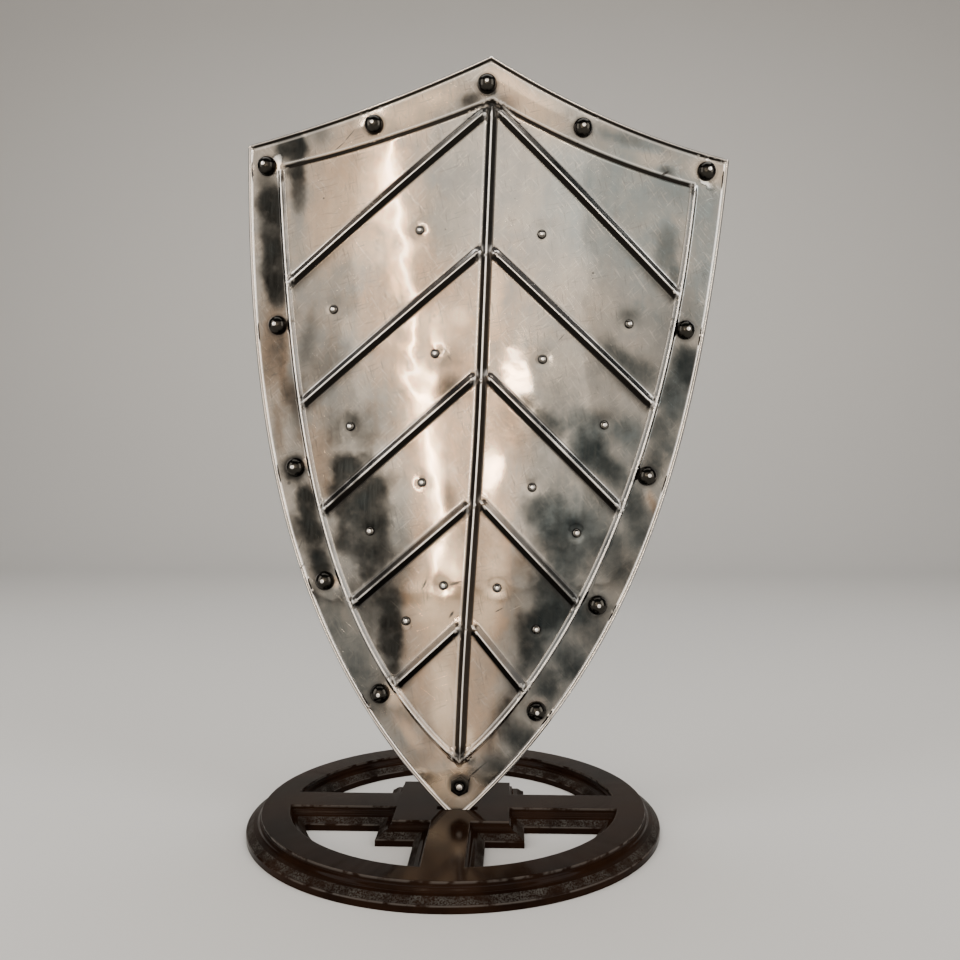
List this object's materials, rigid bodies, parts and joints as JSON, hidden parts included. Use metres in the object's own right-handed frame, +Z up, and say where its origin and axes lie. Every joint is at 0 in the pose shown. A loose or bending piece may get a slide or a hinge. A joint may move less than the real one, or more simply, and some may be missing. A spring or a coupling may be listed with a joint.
{
  "type": "heater shield on stand",
  "caption": "Heater shield of bowed steel plate with a centre rib, chevron ribs, rolled rim and domed rivets, standing on its point in a slot of a black moulded ring stand",
  "frame": {"origin": "centre of the ring stand, on the ground", "axes": "+Z up; -Y is the way the shield faces; +X to the viewer's right"},
  "size_m": [0.4416, 0.366, 0.687],
  "materials": {
    "shield_steel": "hand-polished bare steel sheet, softly blurred reflections, dark soot along the lower flanks of the ribs",
    "polished_steel": "mirror-polished steel domes",
    "blackened_steel": "oil-blackened steel",
    "black_lacquer": "routed board in satin black lacquer, rough on the lower moulding"
  },
  "bodies": {
    "root": {"shield_plate": "shield_steel", "border_rivet_01": "polished_steel", "border_rivet_02": "polished_steel", "border_rivet_03": "polished_steel", "border_rivet_04": "polished_steel", "border_rivet_05": "polished_steel", "border_rivet_06": "polished_steel", "border_rivet_07": "polished_steel", "border_rivet_08": "polished_steel", "border_rivet_09": "polished_steel", "border_rivet_10": "polished_steel", "border_rivet_11": "polished_steel", "border_rivet_12": "polished_steel", "border_rivet_13": "polished_steel", "field_stud_01": "polished_steel", "field_stud_02": "polished_steel", "field_stud_03": "polished_steel", "field_stud_04": "polished_steel", "field_stud_05": "polished_steel", "field_stud_06": "polished_steel", "field_stud_07": "polished_steel", "field_stud_08": "polished_steel", "field_stud_09": "polished_steel", "field_stud_10": "polished_steel", "field_stud_11": "polished_steel", "field_stud_12": "polished_steel", "field_stud_13": "polished_steel", "field_stud_14": "polished_steel", "field_stud_15": "polished_steel", "field_stud_16": "polished_steel", "tip_bolt": "polished_steel", "tip_nut": "blackened_steel", "stand_base": "black_lacquer"}
  },
  "joints": []
}
